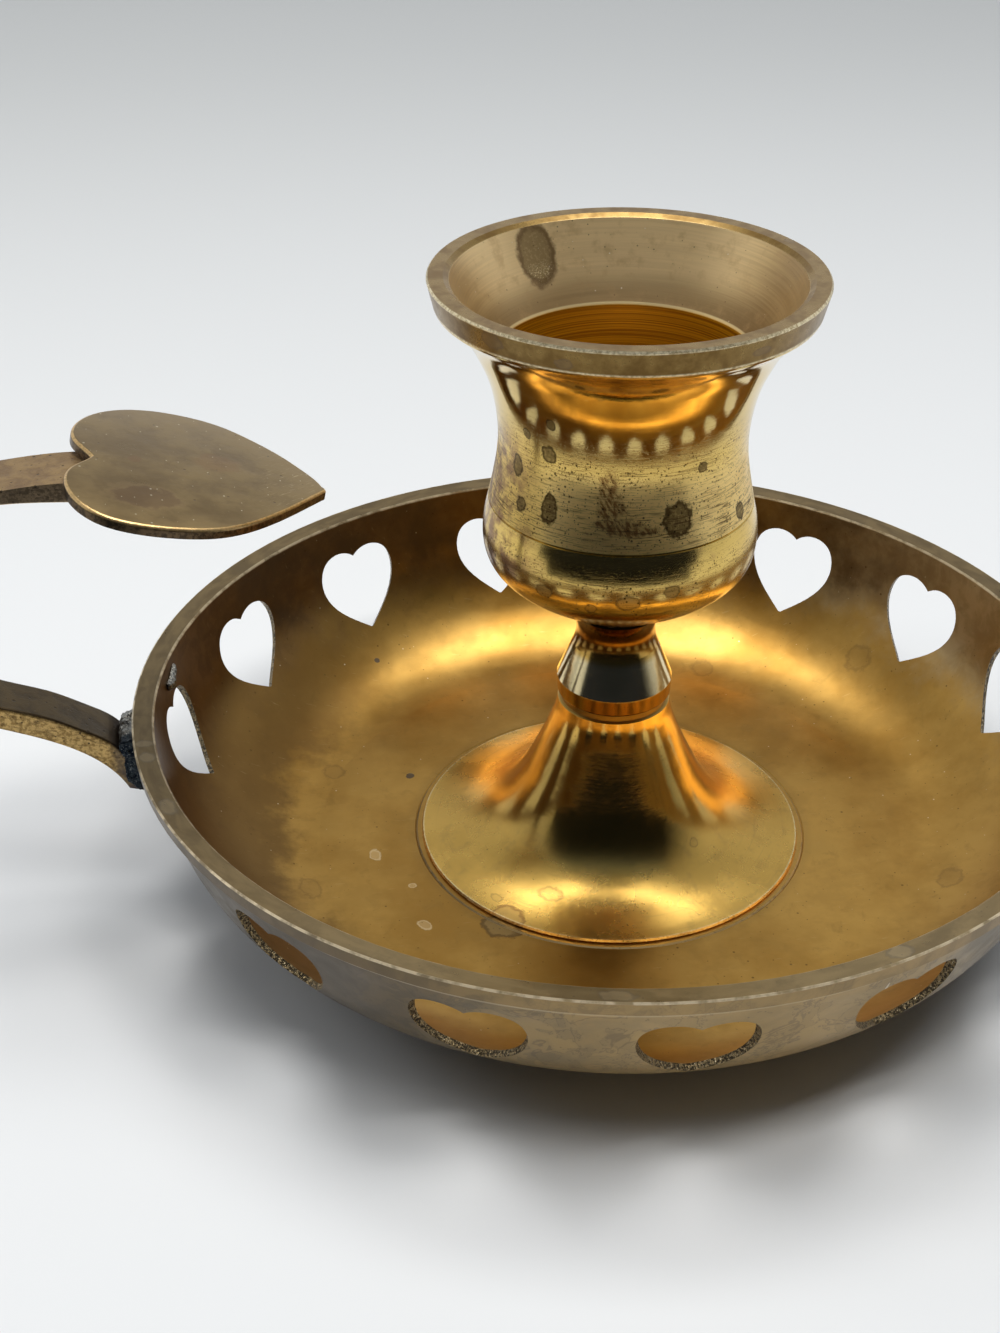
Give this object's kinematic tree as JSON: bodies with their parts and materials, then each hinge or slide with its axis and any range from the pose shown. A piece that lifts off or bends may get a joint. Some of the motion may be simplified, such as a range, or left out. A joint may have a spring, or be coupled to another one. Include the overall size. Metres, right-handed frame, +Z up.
{
  "type": "chamberstick with finger loop",
  "caption": "Brass chamberstick: a heart-pierced drip pan with a trumpet pedestal, a flared candle cup and a finger loop with a heart-shaped thumb plate.",
  "frame": {"origin": "centre of the pan's foot ring on the table plane, under the candle cup's axis", "axes": "+Z up along the cup's axis, +X from the finger loop through the cup's axis to the far side of the pan"},
  "size_m": [0.125, 0.0988, 0.0667],
  "materials": {
    "pan_brass": "satin, tarnished brown towards the rim and outside",
    "pedestal_brass": "polished",
    "cup_brass": "turned, lightly pitted",
    "bar_brass": "tarnished",
    "plate_brass": "satin, tarnished",
    "solder": "dull, blue-black",
    "bright_solder": "bright",
    "fastener_steel": "dull"
  },
  "bodies": {
    "root": {"pan": "pan_brass", "pedestal": "pedestal_brass", "candle_cup": "cup_brass", "handle_strip": "bar_brass", "thumb_plate": "plate_brass", "handle_solder": "solder", "solder_overflow": "bright_solder", "thumb_solder": "solder", "cup_stud": "fastener_steel", "base_screw": "fastener_steel", "base_washer": "fastener_steel"}
  },
  "joints": []
}
